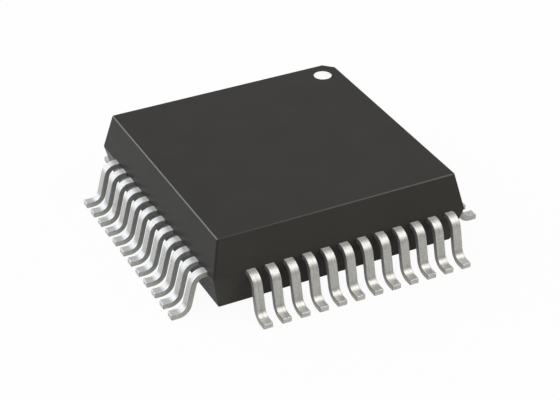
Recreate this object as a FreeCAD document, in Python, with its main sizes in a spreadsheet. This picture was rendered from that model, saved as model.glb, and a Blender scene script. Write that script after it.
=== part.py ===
# Quad flat pack chip: a moulded body with gull wing leads on its four sides, and the paddle, die and
# wires that are sealed inside it. Millimetres, +Z up. The origin is the middle of the body, on the plane
# that the feet stand on. Every lead is drawn running out along +X and is then turned to its own side.
import FreeCAD, Part
import math
import os

import Sketcher
from FreeCAD import Rotation, Vector

# Driving sizes: alias, value and what it measures
SIZES = (
    ("leads_per_side", "12", "leads on each side, on a row with one more place than leads"),
    ("lead_pitch", "1.0", "from one place of a row to the next"),
    ("end_margin", "0.94", "from the outermost place to the corner of the body"),
    ("stand_off", "0.19", "from the feet up to the underside of the body"),
    ("lower_height", "1.99", "lower half of the moulding, up to the parting plane"),
    ("upper_height", "1.96", "upper half of the moulding"),
    ("draft_angle", "12.5", "lean of the moulded sides, in degrees"),
    ("index_cut", "0.78", "corner cut that marks lead one, along each side"),
    ("edge_radius", "0.08", "rounding of the corners and rims of the moulding"),
    ("mark_diameter", "1.0", "round mark beside lead one"),
    ("mark_inset", "1.49", "from the widest sides of the body to the middle of the mark"),
    ("dimple_depth", "0.06", "recess that holds the mark"),
    ("ink_thickness", "0.03", "layer of ink in the recess"),
    ("strip_thickness", "0.28", "stamped metal of the leads and the paddle, with its plating"),
    ("strip_rise", "0.06", "from the parting plane up to the top face of the strip"),
    ("lead_width", "0.5", "width of a lead outside the body"),
    ("shoulder_length", "0.14", "from the widest line of the body to the upper bend"),
    ("upper_bend_radius", "0.43", "inner radius of the upper bend"),
    ("lower_bend_radius", "0.35", "inner radius of the lower bend"),
    ("leg_lean", "14.1", "lean of a leg outwards from upright, in degrees"),
    ("foot_length", "0.45", "flat part of a foot"),
    ("anchor_length", "0.44", "straight part of a lead inside the body"),
    ("tip_gap", "0.7", "from the paddle to the tips of the inner fingers"),
    ("tip_pitch", "0.5", "from one inner tip to the next"),
    ("tip_width", "0.28", "width of an inner tip"),
    ("die_width", "4.4", "side of the square die"),
    ("die_thickness", "0.4", "thickness of the die"),
    ("glue_thickness", "0.05", "layer of adhesive under the die"),
    ("glue_margin", "0.1", "how far the adhesive shows around the die"),
    ("paddle_margin", "1.0", "how far the paddle stands out around the die"),
    ("paddle_drop", "0.3", "how far the paddle is set below the leads"),
    ("tie_width", "0.32", "width of a tie bar"),
    ("tie_start", "0.1", "from the corner of the paddle to the foot of the rise, along each side"),
    ("tie_rise", "0.4", "run of the rise up to the level of the leads, along each side"),
    ("tie_turn", "1.94", "from the widest sides of the body in to the turn of a tie bar"),
    ("tie_cover", "0.3", "moulding between the end of a tie bar and the side of the body"),
    ("pad_inset", "0.15", "from the edge of the die to its row of pads"),
    ("pad_pitch", "0.32", "from one pad to the next"),
    ("wire_size", "0.03", "width and height of a bond wire"),
    ("loop_rise", "0.2", "height of a wire's loop above the die"),
    ("stitch_inset", "0.15", "from the inner tip of a lead to the end of its wire"),
    ("stitch_length", "0.12", "stretch of the wire that is pressed onto the lead"),
)

# Places that follow from the driving sizes
BODY_HALF = "(Sizes.leads_per_side * Sizes.lead_pitch / 2 + Sizes.end_margin)"
PARTING = "(Sizes.stand_off + Sizes.lower_height)"
TOP = f"({PARTING} + Sizes.upper_height)"
STRIP_TOP = f"({PARTING} + Sizes.strip_rise)"
STRIP_UNDERSIDE = f"({STRIP_TOP} - Sizes.strip_thickness)"
KNEE = f"({BODY_HALF} - Sizes.anchor_length)"
SHOULDER_END = f"({BODY_HALF} + Sizes.shoulder_length)"
MARK_PLACE = f"({BODY_HALF} - Sizes.mark_inset)"
PADDLE_HALF = "(Sizes.die_width / 2 + Sizes.paddle_margin)"
PADDLE_TOP = f"({STRIP_TOP} - Sizes.paddle_drop)"
PADDLE_UNDERSIDE = f"({PADDLE_TOP} - Sizes.strip_thickness)"
DIE_UNDERSIDE = f"({PADDLE_TOP} + Sizes.glue_thickness)"
DIE_TOP = f"({DIE_UNDERSIDE} + Sizes.die_thickness)"
TIP = f"({PADDLE_HALF} + Sizes.tip_gap)"
SIDES = 4
QUARTER_TURN = 90
SAME_HEIGHT = 1e-6

# How a sketch names its origin and the points of an edge
ORIGIN = (-1, 1)
START, END, CENTRE = 1, 2, 3

doc = FreeCAD.newDocument("QuadFlatPack")
sheet = doc.addObject("Spreadsheet::Sheet", "Sizes")
for row, (alias, value, meaning) in enumerate(SIZES, start=1):
    sheet.set(f"A{row}", alias)
    sheet.set(f"B{row}", value)
    sheet.set(f"C{row}", meaning)
    sheet.setAlias(f"B{row}", alias)
doc.recompute()


def number(expression):
    """What an expression of the sheet's sizes comes to."""
    return float(sheet.evalExpression(expression))


def new_body(name):
    """An empty body whose label is the name of its sub-part."""
    body = doc.addObject("PartDesign::Body", name)
    body.Label = name
    return body


def origin_feature(body, role):
    """One of the body's own planes or axes."""
    return next(feature for feature in body.Origin.OriginFeatures if feature.Role == role)


def new_sketch(body, name, plane="XY_Plane", level="0"):
    """A sketch on one of the body's planes, set off along the plane's normal."""
    sketch = body.newObject("Sketcher::SketchObject", name)
    sketch.AttachmentSupport = (origin_feature(body, plane), [""])
    sketch.MapMode = "FlatFace"
    sketch.setExpression("AttachmentOffset.Base.z", level)
    return sketch


def constrain(sketch, rules, dimensions):
    """Adds plain constraints, then dimensions that are tied to expressions of the sheet's sizes."""
    made = [Sketcher.Constraint(*rule) for rule in rules]
    for kind, *where, to in dimensions:
        value = math.radians(number(to)) if kind == "Angle" else number(to)
        made.append(Sketcher.Constraint(kind, *where, value))
    sketch.addConstraint(made)
    for index, (*_, to) in enumerate(dimensions, start=len(rules)):
        sketch.setExpression(f"Constraints[{index}]", to)


def from_origin(edge, point, x, y):
    """The two dimensions that place a point of a sketch."""
    return [("DistanceX", *ORIGIN, edge, point, x), ("DistanceY", *ORIGIN, edge, point, y)]


def polygon(sketch, corners):
    """A closed outline whose corners are tied to pairs of expressions."""
    points = [Vector(number(x), number(y), 0) for x, y in corners]
    sketch.addGeometry([Part.LineSegment(a, b) for a, b in zip(points, points[1:] + points[:1])])
    count = len(corners)
    joints = [("Coincident", edge, END, (edge + 1) % count, START) for edge in range(count)]
    places = [rule for edge, (x, y) in enumerate(corners) for rule in from_origin(edge, START, x, y)]
    constrain(sketch, joints, places)


def circle(sketch, x, y, diameter):
    """A circle tied to expressions for its middle and its diameter."""
    middle = Vector(number(x), number(y), 0)
    sketch.addGeometry(Part.Circle(middle, Vector(0, 0, 1), number(diameter) / 2))
    constrain(sketch, [], [*from_origin(0, CENTRE, x, y), ("Diameter", 0, diameter)])


def add_pad(body, name, sketch, length, sides="One side"):
    """Pads a sketch by an expression, one way or evenly both ways."""
    pad = body.newObject("PartDesign::Pad", name)
    pad.Profile = sketch
    pad.SideType = sides
    pad.setExpression("Length", length)
    return pad


def add_pocket(body, name, sketch, depth):
    """Sinks a sketch down into the solid."""
    pocket = body.newObject("PartDesign::Pocket", name)
    pocket.Profile = sketch
    pocket.setExpression("Length", depth)
    return pocket


def add_fillet(body, name, base, radius, chosen):
    """Rounds the edges of the base feature that the test picks."""
    edges = [f"Edge{at}" for at, edge in enumerate(base.Shape.Edges, start=1) if chosen(edge)]
    fillet = body.newObject("PartDesign::Fillet", name)
    fillet.Base = (base, edges)
    fillet.setExpression("Radius", radius)
    return fillet


def quarter_turns(body, name, features):
    """Repeats features on all four sides of the body."""
    pattern = body.newObject("PartDesign::PolarPattern", name)
    pattern.Originals = features
    pattern.Axis = (origin_feature(body, "Z_Axis"), [""])
    pattern.Angle = SIDES * QUARTER_TURN
    pattern.Occurrences = SIDES
    body.Tip = pattern


def square_plate(name, half, underside, thickness):
    """A square plate that lies level, centred on the axis."""
    body = new_body(name)
    sketch = new_sketch(body, f"{name}_outline", level=underside)
    polygon(sketch, [(f"{sx}{half}", f"{sy}{half}") for sx, sy in ("--", "+-", "++", "-+")])
    add_pad(body, f"{name}_pad", sketch, thickness)
    return body


def round_disc(name, place, diameter, underside, thickness):
    """A thin disc that lies level, as far along X as along Y."""
    body = new_body(name)
    sketch = new_sketch(body, f"{name}_outline", level=underside)
    circle(sketch, place, place, diameter)
    add_pad(body, f"{name}_pad", sketch, thickness)
    return body


# Moulded body, still without the room for what it encloses


def edge_levels(edge):
    """Height of the lowest and of the highest corner of an edge or face."""
    heights = [vertex.Z for vertex in edge.Vertexes]
    return min(heights), max(heights)


def stands(shape):
    """Whether an edge or face runs from one level to another."""
    low, high = edge_levels(shape)
    return high - low > SAME_HEIGHT


def drafted_half(body, name, outline, height, downwards):
    """One half of the moulding: a pad whose sides lean in from the parting plane."""
    pad = add_pad(body, f"{name}_half", outline, height)
    pad.Reversed = downwards
    doc.recompute()
    parting = number(PARTING)

    def own_side(face):
        low, high = edge_levels(face)
        middle = (low + high) / 2
        return stands(face) and (middle < parting) == downwards

    faces = [f"Face{at}" for at, face in enumerate(pad.Shape.Faces, start=1) if own_side(face)]
    draft = body.newObject("PartDesign::Draft", f"{name}_draft")
    draft.Base = (pad, faces)
    draft.NeutralPlane = (body.getObject("parting_plane"), [""])
    draft.Reversed = downwards
    draft.setExpression("Angle", "Sizes.draft_angle")
    doc.recompute()
    return draft


def moulding():
    """Two drafted halves on one parting outline, with rounded edges and the dimple."""
    body = new_body("moulding")
    plane = body.newObject("PartDesign::Plane", "parting_plane")
    plane.AttachmentSupport = (origin_feature(body, "XY_Plane"), [""])
    plane.MapMode = "FlatFace"
    plane.setExpression("AttachmentOffset.Base.z", PARTING)

    outline = new_sketch(body, "parting_outline", level=PARTING)
    cut = f"{BODY_HALF} - Sizes.index_cut"
    polygon(
        outline,
        [
            (f"-{BODY_HALF}", f"-{BODY_HALF}"),
            (BODY_HALF, f"-{BODY_HALF}"),
            (BODY_HALF, cut),
            (cut, BODY_HALF),
            (f"-{BODY_HALF}", BODY_HALF),
        ],
    )
    drafted_half(body, "upper", outline, "Sizes.upper_height", downwards=False)
    whole = drafted_half(body, "lower", outline, "Sizes.lower_height", downwards=True)
    parting = number(PARTING)

    def off_the_parting_line(edge):
        return max(abs(level - parting) for level in edge_levels(edge)) > SAME_HEIGHT

    add_fillet(body, "edge_rounding", whole, "Sizes.edge_radius", off_the_parting_line)

    dimple = new_sketch(body, "dimple_outline", level=TOP)
    circle(dimple, MARK_PLACE, MARK_PLACE, "Sizes.mark_diameter")
    add_pocket(body, "dimple", dimple, "Sizes.dimple_depth")
    return body


# Leads: a strip formed into a gull wing outside the body, and an inner finger that leads to the die


def gull_wing_edges():
    """Side view of the formed strip: shoulder, upper bend, leg, lower bend and foot."""
    thickness = number("Sizes.strip_thickness")
    bend, last_bend = number("Sizes.upper_bend_radius"), number("Sizes.lower_bend_radius")
    top, knee = number(STRIP_TOP), number(KNEE)
    shoulder_end = number(SHOULDER_END)
    lean = math.radians(number("Sizes.leg_lean"))
    up = Vector(0, 1, 0)
    slant = Vector(math.cos(lean), math.sin(lean), 0)

    # The middles of the bends, and from them the points where the bends run into the straights
    upper = Vector(shoulder_end, top - thickness - bend, 0)
    rise_between = upper.y - thickness - last_bend
    run_between = (bend + thickness + last_bend + rise_between * math.sin(lean)) / math.cos(lean)
    lower = Vector(shoulder_end + run_between, thickness + last_bend, 0)
    toe = lower.x + number("Sizes.foot_length")

    def arc(middle, radius, start):
        full = Part.Circle(middle, Vector(0, 0, 1), radius)
        return Part.ArcOfCircle(full, start + lean, start + math.pi / 2)

    def line(a, b):
        return Part.LineSegment(a, b)

    return {
        "shoulder_top": line(Vector(knee, top, 0), upper + up * (bend + thickness)),
        "upper_outer": arc(upper, bend + thickness, 0),
        "leg_face": line(upper + slant * (bend + thickness), lower - slant * last_bend),
        "lower_inner": arc(lower, last_bend, math.pi),
        "foot_top": line(lower - up * last_bend, Vector(toe, thickness, 0)),
        "toe_end": line(Vector(toe, thickness, 0), Vector(toe, 0, 0)),
        "sole": line(Vector(toe, 0, 0), lower - up * (last_bend + thickness)),
        "lower_outer": arc(lower, last_bend + thickness, math.pi),
        "leg_back": line(lower - slant * (last_bend + thickness), upper + slant * bend),
        "upper_inner": arc(upper, bend, 0),
        "shoulder_underside": line(upper + up * bend, Vector(knee, top - thickness, 0)),
        "root_end": line(Vector(knee, top - thickness, 0), Vector(knee, top, 0)),
    }


def gull_wing(sketch):
    """Draws the side view and ties it, so that it keeps its form when a size changes."""
    edges = gull_wing_edges()
    sketch.addGeometry(list(edges.values()))
    at = {name: index for index, name in enumerate(edges)}

    # An arc runs counter-clockwise, so one that is followed the other way joins by its other end
    smooth = (
        ("shoulder_top", END, "upper_outer", END),
        ("upper_outer", START, "leg_face", START),
        ("leg_face", END, "lower_inner", START),
        ("lower_inner", END, "foot_top", START),
        ("sole", END, "lower_outer", END),
        ("lower_outer", START, "leg_back", START),
        ("leg_back", END, "upper_inner", START),
        ("upper_inner", END, "shoulder_underside", START),
    )
    sharp = (
        ("foot_top", END, "toe_end", START),
        ("toe_end", END, "sole", START),
        ("shoulder_underside", END, "root_end", START),
        ("root_end", END, "shoulder_top", START),
        ("upper_outer", CENTRE, "upper_inner", CENTRE),
        ("lower_outer", CENTRE, "lower_inner", CENTRE),
    )
    rules = [("Tangent", at[a], end_a, at[b], end_b) for a, end_a, b, end_b in smooth]
    rules += [("Coincident", at[a], end_a, at[b], end_b) for a, end_a, b, end_b in sharp]
    rules += [("Horizontal", at[n]) for n in ("shoulder_top", "foot_top", "sole", "shoulder_underside")]
    rules += [("Vertical", at[n]) for n in ("toe_end", "root_end")]
    dimensions = [
        *from_origin(at["shoulder_top"], START, KNEE, STRIP_TOP),
        ("DistanceX", *ORIGIN, at["shoulder_top"], END, SHOULDER_END),
        ("DistanceY", *ORIGIN, at["sole"], START, "0"),
        ("DistanceX", at["sole"], END, at["sole"], START, "Sizes.foot_length"),
        ("DistanceY", at["root_end"], START, at["root_end"], END, "Sizes.strip_thickness"),
        ("DistanceY", at["toe_end"], END, at["toe_end"], START, "Sizes.strip_thickness"),
        ("Radius", at["upper_inner"], "Sizes.upper_bend_radius"),
        ("Radius", at["lower_inner"], "Sizes.lower_bend_radius"),
        ("Angle", at["leg_face"], f"Sizes.leg_lean - {QUARTER_TURN}"),
    ]
    constrain(sketch, rules, dimensions)


def tangent_place(order):
    """How far along its side a lead stands from the middle, as an expression."""
    return f"(({order} - Sizes.leads_per_side / 2) * Sizes.lead_pitch)"


def fan_place(order, pitch):
    """The same for what is centred on the die: inner tips and pads."""
    return f"(({order} - (Sizes.leads_per_side + 1) / 2) * Sizes.{pitch})"


def lead(name, order, turn):
    """One lead: the gull wing outside the body and the finger that runs in to the die."""
    body = new_body(name)
    side_view = new_sketch(body, f"{name}_side_view", plane="XZ_Plane")
    gull_wing(side_view)
    add_pad(body, f"{name}_gull_wing", side_view, "Sizes.lead_width", sides="Symmetric")

    finger = new_sketch(body, f"{name}_finger_outline", level=STRIP_UNDERSIDE)
    aside = f"({fan_place(order, 'tip_pitch')} - {tangent_place(order)})"
    polygon(
        finger,
        [
            (KNEE, "-Sizes.lead_width / 2"),
            (KNEE, "Sizes.lead_width / 2"),
            (TIP, f"{aside} + Sizes.tip_width / 2"),
            (TIP, f"{aside} - Sizes.tip_width / 2"),
        ],
    )
    add_pad(body, f"{name}_finger", finger, "Sizes.strip_thickness")

    body.Placement.Rotation = Rotation(Vector(0, 0, 1), turn)
    body.setExpression("Placement.Base.x", f"-{tangent_place(order)} * sin({turn})")
    body.setExpression("Placement.Base.y", f"{tangent_place(order)} * cos({turn})")
    return body


# Paddle, with a tie bar to the vacant place of each side


def die_paddle():
    """The plate under the die and its four tie bars, which rise to the level of the leads."""
    body = square_plate("die_paddle", PADDLE_HALF, PADDLE_UNDERSIDE, "Sizes.strip_thickness")

    rise_start = f"({PADDLE_HALF} + Sizes.tie_start)"
    rise_end = f"({rise_start} + Sizes.tie_rise)"
    stations = (
        (f"{PADDLE_HALF} - Sizes.tie_width", PADDLE_UNDERSIDE),
        (rise_start, PADDLE_UNDERSIDE),
        (rise_end, STRIP_UNDERSIDE),
        (f"{rise_end} + Sizes.tie_width", STRIP_UNDERSIDE),
    )
    underside = [(f"({place}) * sqrt(2)", level) for place, level in stations]
    topside = [(place, f"{level} + Sizes.strip_thickness") for place, level in reversed(underside)]
    side_view = new_sketch(body, "tie_side_view", plane="XZ_Plane")
    side_view.AttachmentOffset.Rotation = Rotation(Vector(0, 1, 0), QUARTER_TURN / 2)
    polygon(side_view, underside + topside)
    rise = add_pad(body, "tie_rise", side_view, "Sizes.tie_width", sides="Symmetric")

    # Plan of the level stretch: out along the diagonal, then across to the vacant place
    turn = f"({BODY_HALF} - Sizes.tie_turn)"
    vacant = "(Sizes.leads_per_side / 2 * Sizes.lead_pitch)"
    end = f"({BODY_HALF} - Sizes.tie_cover)"
    middle_line = ((rise_end, rise_end), (turn, turn), (vacant, end))
    half = "Sizes.tie_width / sqrt(2)"
    outer_edge = [(f"{x} + {half}", y) for x, y in middle_line]
    inner_edge = [(f"{x} - {half}", y) for x, y in reversed(middle_line)]
    plan = new_sketch(body, "tie_plan", level=STRIP_UNDERSIDE)
    polygon(plan, outer_edge + inner_edge)
    level_stretch = add_pad(body, "tie_level", plan, "Sizes.strip_thickness")
    quarter_turns(body, "tie_bars", [rise, level_stretch])
    return body


# Bond wires: a loop from each pad of the die to its lead


def bond_wires():
    """Square wires that stand up from the die, slope down and end pressed flat on the leads."""
    body = new_body("bond_wires")
    pad_reach = "(Sizes.die_width / 2 - Sizes.pad_inset)"
    stitch_reach = f"({TIP} + Sizes.stitch_inset)"
    along = f"(Sizes.stitch_inset / ({KNEE} - {TIP}))"
    loops = []
    for order in range(1, int(number("Sizes.leads_per_side")) + 1):
        pad_place = fan_place(order, "pad_pitch")
        tip_place = fan_place(order, "tip_pitch")
        stitch_place = f"({tip_place} + ({tangent_place(order)} - {tip_place}) * {along})"
        run = f"({stitch_reach} - {pad_reach})"
        aside = f"({stitch_place} - {pad_place})"
        length = f"hypot({run}; {aside})"

        plane = new_sketch(body, f"wire_side_view_{order:02d}", plane="XZ_Plane", level=f"-{pad_place}")
        plane.AttachmentOffset.Rotation = Rotation(Vector(0, 1, 0), number(f"atan2({aside}; {run})"))
        plane.setExpression("AttachmentOffset.Base.x", pad_reach)
        plane.setExpression("AttachmentOffset.Rotation.Angle", f"atan2({aside}; {run})")
        loop_top = f"({DIE_TOP} + Sizes.loop_rise)"
        polygon(
            plane,
            [
                ("-Sizes.wire_size / 2", DIE_TOP),
                ("Sizes.wire_size / 2", DIE_TOP),
                ("Sizes.wire_size / 2", f"{loop_top} - Sizes.wire_size"),
                (f"{length} - Sizes.stitch_length", STRIP_TOP),
                (length, STRIP_TOP),
                ("-Sizes.wire_size / 2", loop_top),
            ],
        )
        loops.append(add_pad(body, f"wire_{order:02d}", plane, "Sizes.wire_size", sides="Symmetric"))
    quarter_turns(body, "wires_of_all_sides", loops)
    return body


# Assembly: the moulding is cut by everything that it encloses, so each piece fits its own cavity
parts = []
leads_per_side = int(number("Sizes.leads_per_side"))
for side in range(SIDES):
    for order in range(1, leads_per_side + 1):
        lead_name = f"lead_{side * leads_per_side + order:02d}"
        parts.append(lead(lead_name, order, QUARTER_TURN * (side + 1)))
parts.append(die_paddle())
glue_half = "(Sizes.die_width / 2 + Sizes.glue_margin)"
parts.append(square_plate("die_attach", glue_half, PADDLE_TOP, "Sizes.glue_thickness"))
parts.append(square_plate("die", "(Sizes.die_width / 2)", DIE_UNDERSIDE, "Sizes.die_thickness"))
parts.append(bond_wires())

contents = doc.addObject("Part::Compound", "contents")
contents.Links = parts
mould_body = doc.addObject("Part::Cut", "mould_body")
mould_body.Label = "mould_body"
mould_body.Base = moulding()
mould_body.Tool = contents
parts.append(mould_body)

dimple_floor = f"({TOP} - Sizes.dimple_depth)"
parts.append(
    round_disc("pin_one_mark", MARK_PLACE, "Sizes.mark_diameter", dimple_floor, "Sizes.ink_thickness")
)
doc.recompute()

# Every object has to be sound before anything is written
for item in doc.Objects:
    if "Invalid" in item.State or "Error" in item.State:
        raise RuntimeError(f"{item.Label} failed: {item.State}")
for part in parts:
    if part.Shape.isNull() or not part.Shape.isValid() or part.Shape.Volume <= 0:
        raise RuntimeError(f"{part.Label} has no valid shape")

os.makedirs("parts", exist_ok=True)
for part in parts:
    part.Shape.exportStep(f"parts/{part.Label}.step")
print(len(parts), "sub-parts written")
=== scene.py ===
import math

import bpy
from mathutils import Matrix, Vector


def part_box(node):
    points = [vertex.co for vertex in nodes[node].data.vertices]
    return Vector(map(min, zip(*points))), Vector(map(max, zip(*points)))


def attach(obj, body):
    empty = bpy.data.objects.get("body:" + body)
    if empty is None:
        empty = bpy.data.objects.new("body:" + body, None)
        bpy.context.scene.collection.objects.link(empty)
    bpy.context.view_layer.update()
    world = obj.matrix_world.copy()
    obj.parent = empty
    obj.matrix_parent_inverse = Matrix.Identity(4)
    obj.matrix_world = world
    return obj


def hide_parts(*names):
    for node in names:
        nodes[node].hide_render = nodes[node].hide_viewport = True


# Quad flat pack chip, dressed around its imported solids. Metres, +Z up, feet on z = 0. The camera stands
# at the front left: the row of leads to the right faces -Y, the row to the left faces -X.
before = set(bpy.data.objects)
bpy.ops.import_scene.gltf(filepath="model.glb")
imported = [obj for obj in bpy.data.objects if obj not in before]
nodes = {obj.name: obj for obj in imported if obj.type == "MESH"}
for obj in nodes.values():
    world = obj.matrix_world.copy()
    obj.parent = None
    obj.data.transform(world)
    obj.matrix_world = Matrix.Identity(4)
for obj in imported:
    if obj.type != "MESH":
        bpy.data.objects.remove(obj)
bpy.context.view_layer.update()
MM = 0.001

# Camera, fitted to the corners of the body and the feet in the photograph
PHOTO_WIDTH = 560
FOCAL_LENGTH_PX = 1672
SENSOR_WIDTH_MM = 36
CAMERA_PLACE = Vector((-33.14, -65.47, 47.78)) * MM
CAMERA_AIM = Vector((0.565, 0.955, 0.0)) * MM
CAMERA_ROLL = math.radians(0.1)
CLIP_START = 1 * MM
CLIP_END = 10

# Leads: what the boxes of the solids don't tell
LEADS_PER_SIDE = 12
SIDES = 4
LEAD_PITCH = 1.0 * MM
TIP_PITCH = 0.5 * MM
STRIP_THICKNESS = 0.28 * MM
LEAD_WIDTH = 0.5 * MM
TIP_WIDTH = 0.28 * MM
ANCHOR_LENGTH = 0.44 * MM
SHOULDER_LENGTH = 0.14 * MM
UPPER_BEND_RADIUS = 0.43 * MM
LOWER_BEND_RADIUS = 0.46 * MM
LEG_LEAN = math.radians(14.1)
EDGE_ROUNDING = 0.04 * MM
EDGE_STEPS = 3
BEND_STEPS = 16

# The stub that is left on the upper bend of a lead where the dam bar was cut off. The cut sat a little
# towards -Y, so that the leads of the -X and +X sides keep one, each on its +Y edge.
WEST, EAST = 1, 3
STUB_EDGE = {WEST: -1, EAST: 1}
STUB_START = math.radians(38)
STUB_END = math.radians(56)
STUB_REACH = 0.045 * MM
STUB_ROUNDING = 0.02 * MM

# Moulding compound. Tones are linear red, green and blue, and a pair of them is the darkest and lightest.
BODY_TONES = ((0.0496, 0.0470, 0.0439), (0.0540, 0.0512, 0.0478))
BODY_ROUGHNESS = (0.16, 0.24)
BODY_IOR = 1.45
BODY_SPECULAR = 0.05
# Colour of the painted highlight on the top's rounded rims
RIM_HIGHLIGHT_TONE = (0.215, 0.215, 0.203)
# Colour of the painted shade on the upright corners
CORNER_SHADE_TONE = (0.003, 0.003, 0.003)
# Painted shade on the top, and painted light on the lower half at the parting and at the floor
TOP_PAINTED_SHADE = 0.78
PAINTED_LIGHT_AT_PARTING = 0.22
PAINTED_LIGHT_AT_FLOOR = 0.75
# Share of the painted rim highlight at -X and at +X
RIM_HIGHLIGHT_AT_WEST = 0.08
RIM_HIGHLIGHT_AT_EAST = 0.52

# Where those tones are, in millimetres: heights of the lower half, the reach of the painted rim highlight
# from the middle, and the sum of x and y over which the painted shade on the corners gives way to the cut one
LOWER_HALF = (0.2, 2.2)
RIM_REACH = 6
NEAR_THE_CUT = (5, 10)

# Masks on the body. The first four go by the upright part of its normal, the fifth by the part along X, and
# the last by the product of the parts along X and Y. Each changes over between its two numbers.
PAST_THE_SIDES = (0.25, 0.45)
NEAR_THE_TOP = (0.85, 0.97)
ON_THE_TOP = (0.9, 0.98)
UPPER_HALF = (-0.05, 0.05)
FACING_X = (0.2, 0.5)
BETWEEN_SIDES = (0.1, 0.3)

# Ink, and how much the roughness of the inner pieces varies
INK_TONES = ((0.86, 0.86, 0.84), (0.95, 0.95, 0.92))
INK_ROUGHNESS = (0.5, 0.62)
ROLLED_SPREAD = 0.12
FLECKED_SPREAD = 0.08

# Tin plate. Streaks and crystals are cells to a millimetre, along and across the strip. The third number
# is a step in the noise from lead to lead, so that no two are alike.
TIN_TONES = ((0.46, 0.45, 0.43), (0.80, 0.79, 0.77))
TIN_ROUGHNESS = (0.37, 0.47)
METALLIC = 0.55
STREAKS = (0.9, 26, 7.3)
FINE_STREAKS = (2.5, 60, 3.1)
CRYSTALS = 9
CRYSTAL_TONES = ((0.79, 0.797, 0.82), (1.0, 1.0, 1.0))

# Stretches of the strip, in millimetres from its inner tip: it leaves the body at 3.04 and ends at 6.2. The
# root has painted light before its stretch, the toe past its own, and the painted side shade changes over
# theirs.
# Painted light at the root and at the toe
ROOT_PAINTED_LIGHT = 1.4
ROOT_STRETCH = (3.04, 3.44)
TOE_PAINTED_LIGHT = 1.09
TOE_STRETCH = (5.2, 5.7)
# Painted shade on the sheared sides, darkest at the root
SIDE_SHADE_AT_ROOT = (0.56, 0.57, 0.56)
SIDE_SHADE_AT_TOE = (0.9, 0.91, 0.87)
SIDE_SHADE_STRETCH = (3.04, 5.8)

# Painted shade on the sheared sides and a darker line on the rounded edges beside them, by how squarely the
# strip faces sideways
EDGE_TONE = 0.45
ON_THE_SIDE = (0.6, 0.95)
PAST_THE_FACE = (0.2, 0.6)
NEAR_THE_SIDE = (0.8, 0.99)

# Floor and world. The light comes from behind, and the eye sees white.
WHITE = (1, 1, 1)
FLOOR_HALF = 0.6
FLOOR_TONE = (0.72, 0.715, 0.68)
FLOOR_WHITE_TO_THE_EYE = 0.95
FLOOR_WHITE_IN_METAL = 0.2
WORLD_WHITE_TO_THE_EYE = 1.0
WORLD_WHITE_IN_METAL = 0.1
WORLD_FRONT = (0.03, 0.03, 0.027)
WORLD_BACK = (0.57, 0.6, 0.65)
TOWARDS_BACK = (-0.7, 0.6, 0.4)
FRONT_TO_BACK = (-0.8, 0.8)

# Square lamps: the direction that each stands in, the length of its side in metres, and its face's colour
LAMP_DISTANCE = 0.3
LAMPS = {
    "back_left": {"towards": (-0.55, 0.735, 0.40), "size": 0.33, "radiance": (1.72, 1.79, 1.86)},
    "overhead": {"towards": (0.34, -0.32, 0.86), "size": 0.245, "radiance": (3.05, 2.95, 2.68)},
    "side": {"towards": (0.9, -0.1, 0.45), "size": 0.26, "radiance": (0.3, 0.3, 0.3)},
}


# Nodes of materials


def new_material(name):
    """A material, its node tree and its shader."""
    made = bpy.data.materials.new(name)
    made.use_nodes = True
    return made, made.node_tree, made.node_tree.nodes["Principled BSDF"]


def add_node(tree, kind, inputs=(), **settings):
    """A node with its settings. Inputs pair a socket with a value, or with the socket that feeds it."""
    made = tree.nodes.new(kind)
    for name, value in settings.items():
        setattr(made, name, value)
    for socket, value in dict(inputs).items():
        if isinstance(value, bpy.types.NodeSocket):
            tree.links.new(value, made.inputs[socket])
        else:
            made.inputs[socket].default_value = value
    return made


def maths(tree, operation, *values):
    """The result of an operation on numbers."""
    return add_node(tree, "ShaderNodeMath", enumerate(values), operation=operation).outputs[0]


def vector_maths(tree, operation, first, second):
    """The results of an operation on two vectors."""
    return add_node(tree, "ShaderNodeVectorMath", {0: first, 1: second}, operation=operation).outputs


def parts(tree, vector):
    """The X, Y and Z of a vector."""
    return add_node(tree, "ShaderNodeSeparateXYZ", {0: vector}).outputs


def facing(tree):
    """The X, Y and Z of the direction that the surface faces."""
    return parts(tree, add_node(tree, "ShaderNodeTexCoord").outputs["Normal"])


def millimetres(tree):
    """Place on the object, in millimetres."""
    place = add_node(tree, "ShaderNodeTexCoord").outputs["Object"]
    return vector_maths(tree, "MULTIPLY", place, (1 / MM, 1 / MM, 1 / MM))[0]


def noise(tree, place, cells=1.0, detail=2.0, stretch=(1, 1, 1)):
    """Smooth noise from 0 to 1, with that many cells to a millimetre along each axis of the stretch."""
    at = vector_maths(tree, "MULTIPLY", place, stretch)[0]
    inputs = {"Vector": at, "Scale": cells, "Detail": detail}
    return add_node(tree, "ShaderNodeTexNoise", inputs, normalize=True).outputs["Fac"]


def ranged(tree, value, low, high, start=0.3, end=0.7):
    """A number that goes from low to high while the value goes from start to end."""
    inputs = {"Value": value, "From Min": start, "From Max": end, "To Min": low, "To Max": high}
    return add_node(tree, "ShaderNodeMapRange", inputs).outputs["Result"]


def opaque(tone):
    """A tone as the colour of a socket."""
    return (*tone, 1)


def mixed(tree, share, first, second, how="MIX"):
    """The first colour, with that share of the second one mixed in."""
    inputs = {"Factor": share, "A": first, "B": second}
    return add_node(tree, "ShaderNodeMix", inputs, data_type="RGBA", blend_type=how).outputs["Result"]


def tinted(tree, value, dark, light, start=0.3, end=0.7):
    """A colour that goes from dark to light while the value goes from start to end."""
    return mixed(tree, ranged(tree, value, 0, 1, start, end), opaque(dark), opaque(light))


def scaled(tree, colour, factor):
    """A colour times a number."""
    inputs = {0: colour, "Scale": factor}
    return add_node(tree, "ShaderNodeVectorMath", inputs, operation="SCALE").outputs[0]


def bump(tree, shader, height, depth, strength, below=None):
    """Raises the surface by the height, a number from 0 to 1, times the depth in metres."""
    inputs = {"Height": height, "Distance": depth, "Strength": strength}
    if below is not None:
        inputs["Normal"] = below
    made = add_node(tree, "ShaderNodeBump", inputs).outputs["Normal"]
    tree.links.new(made, shader.inputs["Normal"])
    return made


# Materials


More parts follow.
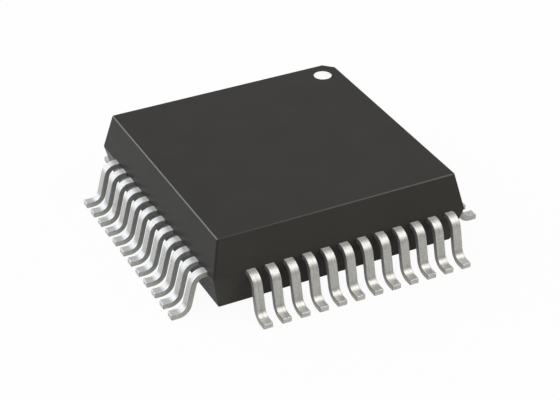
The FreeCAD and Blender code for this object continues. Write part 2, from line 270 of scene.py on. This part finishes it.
def painted_rim_highlight(tree, place, tone):
    """The tone, with a painted highlight on the rounded rim of the top. The rims
    that run along Y have it all along, the others less and less towards -X."""
    normal = facing(tree)
    from_side = ranged(tree, normal["Z"], 0, 1, *PAST_THE_SIDES)
    from_top = ranged(tree, normal["Z"], 1, 0, *NEAR_THE_TOP)
    along_y = ranged(tree, maths(tree, "ABSOLUTE", normal["X"]), 0, 1, *FACING_X)
    x = parts(tree, place)["X"]
    along_x = ranged(tree, x, RIM_HIGHLIGHT_AT_WEST, RIM_HIGHLIGHT_AT_EAST, -RIM_REACH, RIM_REACH)
    rim = maths(tree, "MULTIPLY", from_side, from_top)
    share = maths(tree, "MULTIPLY", rim, maths(tree, "MAXIMUM", along_y, along_x))
    return mixed(tree, share, tone, opaque(RIM_HIGHLIGHT_TONE))


def painted_corner_shade(tree, place, tone):
    """The tone, with painted shade on the rounded edges between the upper sides, but not on the cut corner.
    """
    normal = facing(tree)
    slanting = maths(tree, "ABSOLUTE", maths(tree, "MULTIPLY", normal["X"], normal["Y"]))
    corner = ranged(tree, slanting, 0, 1, *BETWEEN_SIDES)
    upper = ranged(tree, normal["Z"], 0, 1, *UPPER_HALF)
    diagonal = vector_maths(tree, "DOT_PRODUCT", place, (1, 1, 0))["Value"]
    uncut = ranged(tree, diagonal, 1, 0, *NEAR_THE_CUT)
    share = maths(tree, "MULTIPLY", maths(tree, "MULTIPLY", corner, upper), uncut)
    return mixed(tree, share, tone, opaque(CORNER_SHADE_TONE))


def painted_light_by_face(tree, place, tone):
    """The tone, with painted shade on the top. On the lower half it has painted light that lifts its shade,
    and more so towards the floor."""
    upward = facing(tree)["Z"]
    height = parts(tree, place)["Z"]
    lower = ranged(tree, upward, 1, 0, *UPPER_HALF)
    painted_light = ranged(tree, height, PAINTED_LIGHT_AT_FLOOR, PAINTED_LIGHT_AT_PARTING, *LOWER_HALF)
    side_light = maths(tree, "MULTIPLY_ADD", lower, painted_light, 1.0)
    top_shade = ranged(tree, upward, 1, TOP_PAINTED_SHADE, *ON_THE_TOP)
    return scaled(tree, tone, maths(tree, "MULTIPLY", side_light, top_shade))


def mould_compound():
    """Filled epoxy, as it comes from a finely eroded mould: charcoal, satin, faintly mottled."""
    made, tree, shader = new_material("mould_compound")
    place = millimetres(tree)
    clouds = noise(tree, place, cells=0.45, detail=3)
    grain = noise(tree, place, cells=28)
    # Painted shade on the top, painted light on the lower half, painted shade on the corners and a painted
    # highlight on the rims
    tone = painted_light_by_face(tree, place, tinted(tree, clouds, *BODY_TONES))
    tone = painted_rim_highlight(tree, place, painted_corner_shade(tree, place, tone))
    tree.links.new(tone, shader.inputs["Base Color"])
    tree.links.new(ranged(tree, grain, *BODY_ROUGHNESS), shader.inputs["Roughness"])
    shader.inputs["IOR"].default_value = BODY_IOR
    shader.inputs["Specular IOR Level"].default_value = BODY_SPECULAR
    bump(tree, shader, grain, depth=0.001 * MM, strength=0.3)
    return made


def mark_ink():
    """White ink, matt, a little uneven."""
    made, tree, shader = new_material("mark_ink")
    place = millimetres(tree)
    patches = noise(tree, place, cells=3, detail=3)
    grain = noise(tree, place, cells=22)
    tree.links.new(tinted(tree, patches, *INK_TONES), shader.inputs["Base Color"])
    tree.links.new(ranged(tree, grain, *INK_ROUGHNESS), shader.inputs["Roughness"])
    bump(tree, shader, grain, depth=0.004 * MM, strength=0.6)
    return made


def plated(tree, along, brushed, crystals):
    """Tin, lighter and darker by the streaks and the crystals, with painted light at the root and at the toe.
    """
    streaked = tinted(tree, brushed, *TIN_TONES)
    colour = mixed(tree, 1.0, streaked, tinted(tree, crystals, *CRYSTAL_TONES), how="MULTIPLY")
    root = ranged(tree, along, ROOT_PAINTED_LIGHT, 1, *ROOT_STRETCH)
    toe = ranged(tree, along, 1, TOE_PAINTED_LIGHT, *TOE_STRETCH)
    return scaled(tree, colour, maths(tree, "MULTIPLY", root, toe))


def painted_side_shade(tree, along, tone):
    """The tone, with painted shade on the sheared sides of the strip, deepest towards the root, and a darker
    line on the rounded edges beside them.
    """
    sideways = add_node(tree, "ShaderNodeAttribute", attribute_name="painted_side_shade").outputs["Fac"]
    side = ranged(tree, sideways, 0, 1, *ON_THE_SIDE)
    side_shade = tinted(tree, along, SIDE_SHADE_AT_ROOT, SIDE_SHADE_AT_TOE, *SIDE_SHADE_STRETCH)
    shaded = mixed(tree, side, tone, side_shade, how="MULTIPLY")
    from_face = ranged(tree, sideways, 0, 1, *PAST_THE_FACE)
    from_side = ranged(tree, sideways, 1, 0, *NEAR_THE_SIDE)
    edge = maths(tree, "MULTIPLY", from_face, from_side)
    return scaled(tree, shaded, ranged(tree, edge, 1, EDGE_TONE, 0, 1))


def tinned_lead():
    """Satin tin plate with fine streaks along the strip. The strip attribute holds the place along and
    across the strip in millimetres, and the lead's number."""
    made, tree, shader = new_material("tinned_lead")
    strip = add_node(tree, "ShaderNodeAttribute", attribute_name="strip").outputs["Vector"]
    along = parts(tree, strip)["X"]
    streaks = noise(tree, strip, detail=3, stretch=STREAKS)
    fine = noise(tree, strip, stretch=FINE_STREAKS)
    brushed = maths(tree, "MULTIPLY", maths(tree, "ADD", streaks, fine), 0.5)
    crystals = noise(tree, strip, cells=CRYSTALS, detail=3)
    # The colour carries painted light at the root and toe and painted shade on the sheared sides
    tree.links.new(painted_side_shade(tree, along, plated(tree, along, brushed, crystals)), shader.inputs["Base Color"])
    tree.links.new(ranged(tree, brushed, *TIN_ROUGHNESS), shader.inputs["Roughness"])
    shader.inputs["Metallic"].default_value = METALLIC
    ridges = bump(tree, shader, brushed, depth=0.004 * MM, strength=0.6)
    bump(tree, shader, crystals, depth=0.005 * MM, strength=0.5, below=ridges)
    return made


def inner_metal(name, dark, light, roughness):
    """Bare metal inside the moulding, with the marks of rolling along it."""
    made, tree, shader = new_material(name)
    rolled = noise(tree, millimetres(tree), detail=3, stretch=(1.5, 24, 1.5))
    tree.links.new(tinted(tree, rolled, dark, light), shader.inputs["Base Color"])
    tree.links.new(ranged(tree, rolled, roughness, roughness + ROLLED_SPREAD), shader.inputs["Roughness"])
    shader.inputs["Metallic"].default_value = 1.0
    bump(tree, shader, rolled, depth=0.003 * MM, strength=0.5)
    return made


def inner_solid(name, dark, light, roughness, cells):
    """A dull solid inside the moulding, such as the adhesive or the silicon."""
    made, tree, shader = new_material(name)
    flecks = noise(tree, millimetres(tree), cells)
    tree.links.new(tinted(tree, flecks, dark, light), shader.inputs["Base Color"])
    tree.links.new(ranged(tree, flecks, roughness, roughness + FLECKED_SPREAD), shader.inputs["Roughness"])
    bump(tree, shader, flecks, depth=0.002 * MM, strength=0.4)
    return made


def dress(node, material):
    """Gives a carried over solid its material."""
    slots = nodes[node].data.materials
    slots.clear()
    slots.append(material)


dress("mould_body", mould_compound())
dress("pin_one_mark", mark_ink())
dress("die_paddle", inner_metal("copper_strip", (0.62, 0.33, 0.21), (0.74, 0.42, 0.29), 0.3))
dress("die_attach", inner_solid("die_adhesive", (0.42, 0.42, 0.41), (0.58, 0.58, 0.56), 0.45, cells=12))
dress("die", inner_solid("silicon", (0.05, 0.055, 0.075), (0.07, 0.078, 0.105), 0.12, cells=2))
dress("bond_wires", inner_metal("gold_wire", (0.86, 0.58, 0.2), (0.93, 0.66, 0.28), 0.16))


# Leads: a rounded strip swept along the side view of the lead


def rounded_section(low, high, thickness, rounding):
    """Points of a rounded rectangle and their normals, as pairs of across and up."""
    points = []
    for corner, (across, up) in enumerate(((high, 1), (low, 1), (low, -1), (high, -1))):
        inward = 1 if across == low else -1
        middle = Vector((across + inward * rounding, up * (thickness / 2 - rounding)))
        for step in range(EDGE_STEPS + 1):
            turn = math.pi / 2 * (corner + step / EDGE_STEPS)
            normal = Vector((math.cos(turn), math.sin(turn)))
            points.append((middle + normal * rounding, normal))
    return points


class Station:
    """A place on the strip's middle line, at x and z and that far aside. There the strip falls at an
    angle from level and has a width, and the way is how far it has come from its inner tip."""

    def __init__(self, x, z, fall, way, aside=0.0, width=LEAD_WIDTH):
        self.x, self.z = x, z
        self.fall, self.way = fall, way
        self.aside, self.width = aside, width


def lead_stations(tip, body_side, toe, strip_top, tip_aside):
    """The way from the inner tip, over the shoulder and down the leg, to the toe."""
    middle = strip_top - STRIP_THICKNESS / 2
    knee = body_side - ANCHOR_LENGTH
    shoulder_end = body_side + SHOULDER_LENGTH
    turn = math.pi / 2 - LEG_LEAN
    upper = UPPER_BEND_RADIUS + STRIP_THICKNESS / 2
    lower = LOWER_BEND_RADIUS + STRIP_THICKNESS / 2

    way = knee - tip
    stations = [
        Station(tip, middle, 0, 0, tip_aside, TIP_WIDTH),
        Station(knee, middle, 0, way),
    ]
    way += shoulder_end - knee
    for step in range(BEND_STEPS + 1):
        fall = turn * step / BEND_STEPS
        x = shoulder_end + upper * math.sin(fall)
        stations.append(Station(x, middle - upper * (1 - math.cos(fall)), fall, way + upper * fall))
    way += upper * turn

    leg_top = stations[-1]
    lower_rise = STRIP_THICKNESS / 2 + lower * (1 - math.cos(turn))
    leg = (leg_top.z - lower_rise) / math.sin(turn)
    foot_x = leg_top.x + leg * math.cos(turn) + lower * math.sin(turn)
    way += leg
    for step in range(BEND_STEPS + 1):
        fall = turn * (1 - step / BEND_STEPS)
        x = foot_x - lower * math.sin(fall)
        z = STRIP_THICKNESS / 2 + lower * (1 - math.cos(fall))
        stations.append(Station(x, z, fall, way + lower * (turn - fall)))
    way += lower * turn
    stations.append(Station(toe, STRIP_THICKNESS / 2, 0, way + toe - foot_x))
    return stations


def with_rounded_ends(stations, rounding):
    """The stations, each with its section's shift along the strip, its inset, and how far the normals
    lean along the strip. The first and the last come several times, for the rounding of the ends."""
    rounded = []
    for step in range(EDGE_STEPS + 1):
        turn = math.pi / 2 * step / EDGE_STEPS
        rounded.append((rounding * (1 - math.cos(turn)), rounding * (1 - math.sin(turn)), -math.cos(turn)))
    start = [(stations[0], shift, inset, lean) for shift, inset, lean in rounded]
    between = [(station, 0.0, 0.0, 0.0) for station in stations[1:-1]]
    end = [(stations[-1], -shift, inset, -lean) for shift, inset, lean in reversed(rounded)]
    return start + between + end


def swept_strip(stations, sides, rounding):
    """Vertices and faces of a strip, and for each vertex its normal, its place along and across the
    strip, and how squarely it faces sideways. Sides gives the strip's two edges at a station."""
    rows = with_rounded_ends(stations, rounding)
    vertices, normals, places, sideways = [], [], [], []
    for station, shift, inset, lean in rows:
        along = Vector((math.cos(station.fall), 0, -math.sin(station.fall)))
        up = Vector((math.sin(station.fall), 0, math.cos(station.fall)))
        middle = Vector((station.x, station.aside, station.z)) + along * shift
        low, high = sides(station)
        upright = math.sqrt(max(0.0, 1 - lean * lean))
        for point, normal in rounded_section(low, high, STRIP_THICKNESS, rounding):
            drawn_in = point - normal * inset
            vertices.append(middle + Vector((0, drawn_in.x, 0)) + up * drawn_in.y)
            normals.append((Vector((0, normal.x, 0)) + up * normal.y) * upright + along * lean)
            places.append((station.way + shift, drawn_in.x + drawn_in.y))
            sideways.append(abs(normal.x) * upright)
    ring = len(vertices) // len(rows)
    faces = []
    for row in range(len(rows) - 1):
        for at in range(ring):
            after = (at + 1) % ring
            a, b = row * ring, (row + 1) * ring
            faces.append((a + at, a + after, b + after, b + at))
    faces.append(tuple(reversed(range(ring))))
    faces.append(tuple(range(len(vertices) - ring, len(vertices))))
    return vertices, faces, normals, places, sideways


def lead_sides(station):
    """The two edges of the strip itself."""
    return -station.width / 2, station.width / 2


def stub_sides(station, edge):
    """The stub stands out of one edge, and its other half is inside the strip."""
    middle = edge * station.width / 2
    return middle - STUB_REACH, middle + STUB_REACH


def lead_surface(node, quarter, side, tip_aside):
    """The surface of a lead, turned to the +X side, with the stub of its dam bar if its side has stubs."""
    low, high = (quarter.inverted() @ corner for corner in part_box(node))
    tip, toe = sorted((low.x, high.x))
    strip_top = max(low.z, high.z)
    body_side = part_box("mould_body")[1].x
    stations = lead_stations(tip, body_side, toe, strip_top, tip_aside)
    vertices, faces, normals, places, sideways = swept_strip(stations, lead_sides, EDGE_ROUNDING)
    if side in STUB_EDGE:
        upper_bend = [s for s in stations if s.z > strip_top / 2 and STUB_START <= s.fall <= STUB_END]
        stub = swept_strip(upper_bend, lambda s: stub_sides(s, STUB_EDGE[side]), STUB_ROUNDING)
        stub_vertices, stub_faces, stub_normals, stub_places, stub_sideways = stub
        faces += [tuple(at + len(vertices) for at in face) for face in stub_faces]
        vertices += stub_vertices
        normals += stub_normals
        places += stub_places
        sideways += stub_sideways
    return vertices, faces, normals, places, sideways


def formed_lead(number, material):
    """A whole lead in its place. A row has one more place than leads, and its first one stays empty."""
    node = f"lead_{number:02d}"
    side, order = divmod(number - 1, LEADS_PER_SIDE)
    quarter = Matrix.Rotation(math.pi / 2 * (side + 1), 3, "Z")
    offset = (order + 1 - LEADS_PER_SIDE / 2) * LEAD_PITCH
    tip_offset = (order + 1 - (LEADS_PER_SIDE + 1) / 2) * TIP_PITCH
    vertices, faces, normals, places, sideways = lead_surface(node, quarter, side, tip_offset - offset)

    mesh = bpy.data.meshes.new(f"formed_{node}")
    mesh.from_pydata([quarter @ (v + Vector((0, offset, 0))) for v in vertices], [], faces)
    mesh.polygons.foreach_set("use_smooth", [True] * len(faces))
    mesh.normals_split_custom_set_from_vertices([(quarter @ n).normalized() for n in normals])
    strip = mesh.attributes.new("strip", "FLOAT_VECTOR", "POINT")
    for at, (along, around) in enumerate(places):
        strip.data[at].vector = (along / MM, around / MM, number)
    mesh.attributes.new("painted_side_shade", "FLOAT", "POINT").data.foreach_set("value", sideways)
    mesh.materials.append(material)
    piece = bpy.data.objects.new(f"formed_{node}", mesh)
    bpy.context.scene.collection.objects.link(piece)
    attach(piece, "root")
    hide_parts(node)


tin = tinned_lead()
for number in range(1, SIDES * LEADS_PER_SIDE + 1):
    formed_lead(number, tin)


# Floor, world, lamps and camera


def white_share(tree, to_the_eye, in_metal):
    """How much of the background is plain white to the eye and in metal and glass. To the light it's none."""
    path = add_node(tree, "ShaderNodeLightPath").outputs
    mirrored = maths(tree, "MAXIMUM", path["Is Glossy Ray"], path["Is Transmission Ray"])
    return maths(tree, "MULTIPLY_ADD", path["Is Camera Ray"], to_the_eye,
                 maths(tree, "MULTIPLY", mirrored, in_metal))


def floor_material():
    """Pale floor: plain white, with the object's shadow in the rest. It isn't there from below."""
    made, tree, shader = new_material("floor")
    shader.inputs["Base Color"].default_value = opaque(FLOOR_TONE)
    shader.inputs["Roughness"].default_value = 1.0
    shader.inputs["Specular IOR Level"].default_value = 0.0
    white = add_node(tree, "ShaderNodeEmission", {"Color": opaque(WHITE), "Strength": 1.0})
    share = white_share(tree, FLOOR_WHITE_TO_THE_EYE, FLOOR_WHITE_IN_METAL)
    top = add_node(tree, "ShaderNodeMixShader", {0: share, 1: shader.outputs[0], 2: white.outputs[0]})
    clear = add_node(tree, "ShaderNodeBsdfTransparent")
    behind = add_node(tree, "ShaderNodeNewGeometry").outputs["Backfacing"]
    both = add_node(tree, "ShaderNodeMixShader", {0: behind, 1: top.outputs[0], 2: clear.outputs[0]})
    tree.links.new(both.outputs[0], tree.nodes["Material Output"].inputs["Surface"])
    return made


def pale_floor():
    """A level square under the feet."""
    mesh = bpy.data.meshes.new("floor")
    corners = [(x * FLOOR_HALF, y * FLOOR_HALF, 0) for x, y in ((-1, -1), (1, -1), (1, 1), (-1, 1))]
    mesh.from_pydata(corners, [], [(0, 1, 2, 3)])
    mesh.materials.append(floor_material())
    floor = bpy.data.objects.new("floor", mesh)
    bpy.context.scene.collection.objects.link(floor)


def studio_world():
    """Dark in front and bright behind for the light and the metal, and white to the eye."""
    world = bpy.data.worlds.new("studio")
    world.use_nodes = True
    bpy.context.scene.world = world
    tree = world.node_tree
    where = add_node(tree, "ShaderNodeTexCoord").outputs["Generated"]
    backwards = vector_maths(tree, "DOT_PRODUCT", where, Vector(TOWARDS_BACK).normalized())["Value"]
    studio = tinted(tree, backwards, WORLD_FRONT, WORLD_BACK, *FRONT_TO_BACK)
    share = white_share(tree, WORLD_WHITE_TO_THE_EYE, WORLD_WHITE_IN_METAL)
    seen = mixed(tree, share, studio, opaque(WHITE))
    tree.links.new(seen, tree.nodes["Background"].inputs["Color"])


def soft_lamp(name, towards, size, radiance):
    """A square lamp that shines on the object from a direction. The radiance is the colour of its face."""
    light = bpy.data.lights.new(name, "AREA")
    light.shape = "SQUARE"
    light.size = size
    strongest = max(radiance)
    light.energy = strongest * math.pi * size ** 2
    light.color = [part / strongest for part in radiance]
    lamp = bpy.data.objects.new(name, light)
    lamp.location = Vector(towards).normalized() * LAMP_DISTANCE
    lamp.rotation_mode = "QUATERNION"
    lamp.rotation_quaternion = lamp.location.to_track_quat("Z", "Y")
    bpy.context.scene.collection.objects.link(lamp)


def photo_camera():
    """The camera of the photograph."""
    camera = bpy.data.objects.new("camera", bpy.data.cameras.new("camera"))
    camera.data.sensor_width = SENSOR_WIDTH_MM
    camera.data.lens = SENSOR_WIDTH_MM * FOCAL_LENGTH_PX / PHOTO_WIDTH
    camera.data.clip_start = CLIP_START
    camera.data.clip_end = CLIP_END
    camera.location = CAMERA_PLACE
    camera.rotation_mode = "QUATERNION"
    aim = (CAMERA_AIM - CAMERA_PLACE).to_track_quat("-Z", "Y")
    camera.rotation_quaternion = aim @ Matrix.Rotation(CAMERA_ROLL, 3, "Z").to_quaternion()
    bpy.context.scene.collection.objects.link(camera)
    bpy.context.scene.camera = camera


pale_floor()
studio_world()
for name, lamp in LAMPS.items():
    soft_lamp(name, **lamp)
photo_camera()
bpy.context.scene.view_settings.view_transform = "Standard"
